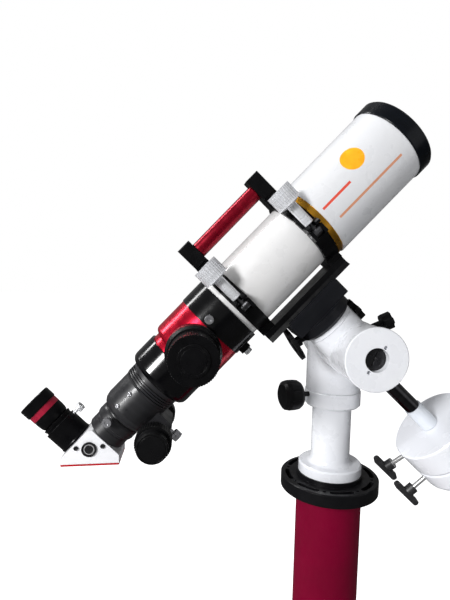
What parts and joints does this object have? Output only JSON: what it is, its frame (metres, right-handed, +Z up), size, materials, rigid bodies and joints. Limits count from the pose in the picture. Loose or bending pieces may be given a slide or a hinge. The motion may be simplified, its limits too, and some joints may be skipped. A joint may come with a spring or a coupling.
{
  "type": "solar telescope on equatorial pier mount",
  "caption": "Short solar refractor clamped by two rings on a white German equatorial tracking head with counterweights, on a flanged red steel pier",
  "frame": {"origin": "centre of the underside of the pier foot, on the pier axis", "axes": "+Z up along the pier, -Y the way the polar axis and its front disc point at rest, +X the counterweight side"},
  "size_m": [0.599, 0.3501, 1.0206],
  "materials": {
    "red_paint": "dark red gloss powder coat",
    "black_metal": "black anodised",
    "black_plastic": "moulded black",
    "white_paint": "white gloss lacquer",
    "cream_paint": "white gloss lacquer",
    "weight_paint": "white gloss lacquer over cast iron",
    "grey_metal": "dark grey anodised",
    "silver_metal": "bare turned",
    "steel": "polished",
    "gold": "gold anodised",
    "red_anodised": "bright red anodised",
    "bearing_steel": "ground",
    "glass": "coated",
    "mirror": "dielectric coated",
    "sleeve_plastic": "translucent white"
  },
  "bodies": {
    "pier": {"pier": "red_paint", "pier_head": "black_metal", "pier_head_screws": "steel", "mount_column": "white_paint"},
    "azimuth_clamp": {"azimuth_knob": "black_plastic"},
    "polar_head": {"polar_housing": "white_paint", "polar_bearings": "bearing_steel"},
    "polar_clamp": {"polar_lock_knob": "black_plastic"},
    "declination_arm": {"polar_shaft": "bearing_steel", "declination_body": "white_paint", "front_disc": "white_paint", "sight_plug": "black_metal", "counterweight_shaft": "steel", "shaft_sleeve": "sleeve_plastic"},
    "declination_clamp": {"declination_lock_knob": "black_plastic"},
    "weight_upper": {"upper_weight": "weight_paint"},
    "weight_upper_lock": {"upper_weight_screw": "black_metal"},
    "weight_lower": {"lower_weight": "weight_paint"},
    "weight_lower_lock": {"lower_weight_screw": "black_metal"},
    "saddle": {"declination_head": "white_paint", "saddle_body": "grey_metal"},
    "slow_motion": {"slow_motion_knob": "black_plastic"},
    "jaw": {"saddle_jaw": "black_metal"},
    "jaw_handle": {"saddle_knob": "black_plastic"},
    "telescope": {"dovetail_bar": "black_metal", "ring_lower_halves": "black_metal", "ring_upper_halves": "black_metal", "ring_pins": "steel", "handle_blocks": "black_metal", "handle_bar": "red_anodised", "main_tube": "cream_paint", "cell_ring": "gold", "objective_lenses": "glass", "dew_shield": "cream_paint", "etalon_housing": "black_metal", "etalon_plates": "glass", "red_body": "red_anodised", "tuner_base": "grey_metal", "rear_cylinder": "black_metal", "focuser_body": "black_metal"},
    "ring_bolts": {"swing_bolts": "steel"},
    "ring_nut_front": {"ring_knob_front": "silver_metal"},
    "ring_nut_rear": {"ring_knob_rear": "silver_metal"},
    "front_cap": {"dust_cap": "black_metal"},
    "side_screw": {"side_thumbscrew": "silver_metal"},
    "lower_screw": {"lower_thumbscrew": "silver_metal"},
    "tuner": {"tuner_knob": "grey_metal"},
    "piston": {"tuner_piston": "silver_metal"},
    "focus_drive": {"focus_knobs": "black_metal"},
    "draw": {"drawtube": "black_metal"},
    "tension": {"tension_screw": "silver_metal"},
    "draw_clamp": {"clamp_thumbscrew": "silver_metal"},
    "diagonal": {"diagonal_body": "white_paint", "diagonal_plate": "red_anodised", "diagonal_mirror": "mirror", "diagonal_trim": "black_metal", "eyepiece_holder": "black_metal"},
    "holder_screw": {"holder_thumbscrew": "silver_metal"},
    "ocular": {"eyepiece": "black_metal"},
    "zoom_ring": {"eyepiece_band": "red_anodised"}
  },
  "joints": [
    {"name": "azimuth_clamp_turn", "type": "hinge", "parent": "pier", "child": "azimuth_clamp", "pos_m": [0, 0, 0.64], "axis": [-0.9659, -0.2588, 0], "range_deg": [0, 180]},
    {"name": "azimuth_turn", "type": "hinge", "parent": "pier", "child": "polar_head", "pos_m": [0, 0, 0.64], "axis": [0, 0, 1], "range_deg": [-180, 180]},
    {"name": "polar_clamp_turn", "type": "hinge", "parent": "polar_head", "child": "polar_clamp", "pos_m": [0, -0.022, 0.718], "axis": [0.9135, 0, 0.4067], "range_deg": [0, 180]},
    {"name": "polar_turn", "type": "hinge", "parent": "polar_head", "child": "declination_arm", "pos_m": [0, -0.0815, 0.718], "axis": [0, -1, 0], "range_deg": [-6, 38]},
    {"name": "declination_clamp_turn", "type": "hinge", "parent": "declination_arm", "child": "declination_clamp", "pos_m": [-0.0245, -0.0695, 0.74085], "axis": [0.682, 0, 0.7314], "range_deg": [0, 180]},
    {"name": "upper_weight_slide", "type": "slide", "parent": "declination_arm", "child": "weight_upper", "axis": [0.7314, 0, -0.682], "range_m": [0, 0.012], "stiffness_N_per_m": 40000},
    {"name": "upper_weight_lock_turn", "type": "hinge", "parent": "weight_upper", "child": "weight_upper_lock", "pos_m": [0.11746, -0.0815, 0.60847], "axis": [-0.6409, 0.342, -0.6872], "range_deg": [-90, 0]},
    {"name": "lower_weight_slide", "type": "slide", "parent": "weight_upper", "child": "weight_lower", "axis": [0.7314, 0, -0.682], "range_m": [0, 0.011], "stiffness_N_per_m": 40000},
    {"name": "lower_weight_lock_turn", "type": "hinge", "parent": "weight_lower", "child": "weight_lower_lock", "pos_m": [0.14327, -0.0815, 0.5844], "axis": [-0.6754, 0.1392, -0.7242], "range_deg": [-90, 0]},
    {"name": "declination_turn", "type": "hinge", "parent": "declination_arm", "child": "saddle", "pos_m": [0, -0.0815, 0.718], "axis": [-0.7314, 0, 0.682], "continuous": true},
    {"name": "slow_motion_turn", "type": "hinge", "parent": "saddle", "child": "slow_motion", "pos_m": [-0.03591, -0.0815, 0.75149], "axis": [-0.829, 0, -0.5592], "continuous": true},
    {"name": "jaw_handle_turn", "type": "hinge", "parent": "jaw", "child": "jaw_handle", "pos_m": [-0.05281, -0.0815, 0.77134], "axis": [0, 1, 0], "range_deg": [0, 540]},
    {"name": "jaw_slide", "type": "slide", "parent": "saddle", "child": "jaw", "axis": [0, 1, 0], "range_m": [0, 0.003]},
    {"name": "dovetail_slide", "type": "slide", "parent": "saddle", "child": "telescope", "axis": [0.682, 0, 0.7314], "range_m": [-0.015, 0.015], "stiffness_N_per_m": 40000},
    {"name": "ring_bolt_swing", "type": "hinge", "parent": "telescope", "child": "ring_bolts", "pos_m": [-0.10729, -0.1325, 0.81805], "axis": [0.682, 0, 0.7314], "range_deg": [0, 95]},
    {"name": "front_nut_turn", "type": "hinge", "parent": "ring_bolts", "child": "ring_nut_front", "pos_m": [-0.07246, -0.1325, 0.86419], "axis": [-0.7314, 0, 0.682], "range_deg": [0, 180]},
    {"name": "rear_nut_turn", "type": "hinge", "parent": "ring_bolts", "child": "ring_nut_rear", "pos_m": [-0.15226, -0.1325, 0.77863], "axis": [-0.7314, 0, 0.682], "range_deg": [0, 180]},
    {"name": "cap_pull", "type": "slide", "parent": "telescope", "child": "front_cap", "axis": [0.682, 0, 0.7314], "range_m": [0, 0.04], "stiffness_N_per_m": 5000},
    {"name": "side_screw_turn", "type": "hinge", "parent": "telescope", "child": "side_screw", "pos_m": [-0.18797, -0.0815, 0.75792], "axis": [0, -1, 0], "range_deg": [0, 180]},
    {"name": "lower_screw_turn", "type": "hinge", "parent": "telescope", "child": "lower_screw", "pos_m": [-0.17715, -0.0815, 0.75193], "axis": [0.7314, 0, -0.682], "range_deg": [0, 180]},
    {"name": "tuner_turn", "type": "hinge", "parent": "telescope", "child": "tuner", "pos_m": [-0.20511, -0.0815, 0.72195], "axis": [0, -1, 0], "range_deg": [0, 720]},
    {"name": "piston_slide", "type": "slide", "parent": "telescope", "child": "piston", "axis": [0, 1, 0], "range_m": [0, 0.006]},
    {"name": "focus_turn", "type": "hinge", "parent": "telescope", "child": "focus_drive", "pos_m": [-0.24837, -0.0815, 0.61735], "axis": [0, -1, 0], "range_deg": [-10, 180]},
    {"name": "drawtube_slide", "type": "slide", "parent": "telescope", "child": "draw", "axis": [-0.682, 0, -0.7314], "range_m": [-0.0014, 0.0252], "stiffness_N_per_m": 20000},
    {"name": "tension_turn", "type": "hinge", "parent": "telescope", "child": "tension", "pos_m": [-0.27195, -0.0815, 0.65027], "axis": [0.7314, 0, -0.682], "range_deg": [0, 180]},
    {"name": "draw_clamp_turn", "type": "hinge", "parent": "draw", "child": "draw_clamp", "pos_m": [-0.30357, -0.0815, 0.63396], "axis": [0, -1, 0], "range_deg": [0, 180]},
    {"name": "diagonal_turn", "type": "hinge", "parent": "draw", "child": "diagonal", "pos_m": [-0.31628, -0.0815, 0.60274], "axis": [0.682, 0, 0.7314], "range_deg": [-90, 90]},
    {"name": "holder_screw_turn", "type": "hinge", "parent": "diagonal", "child": "holder_screw", "pos_m": [-0.36368, -0.0815, 0.61891], "axis": [0.682, 0, 0.7314], "range_deg": [0, 180]},
    {"name": "eyepiece_pull", "type": "slide", "parent": "diagonal", "child": "ocular", "axis": [-0.7314, 0, 0.682], "range_m": [0, 0.03], "stiffness_N_per_m": 5000},
    {"name": "zoom_turn", "type": "hinge", "parent": "ocular", "child": "zoom_ring", "pos_m": [-0.38314, -0.0815, 0.63705], "axis": [-0.7314, 0, 0.682], "range_deg": [0, 90]}
  ],
  "couplings": [
    {"joint": "jaw_handle_turn", "follows": "jaw_slide", "rad_per_m": 3141.6},
    {"joint": "piston_slide", "follows": "tuner_turn", "m_per_rad": 0.00047746},
    {"joint": "drawtube_slide", "follows": "focus_turn", "m_per_rad": 0.008}
  ]
}
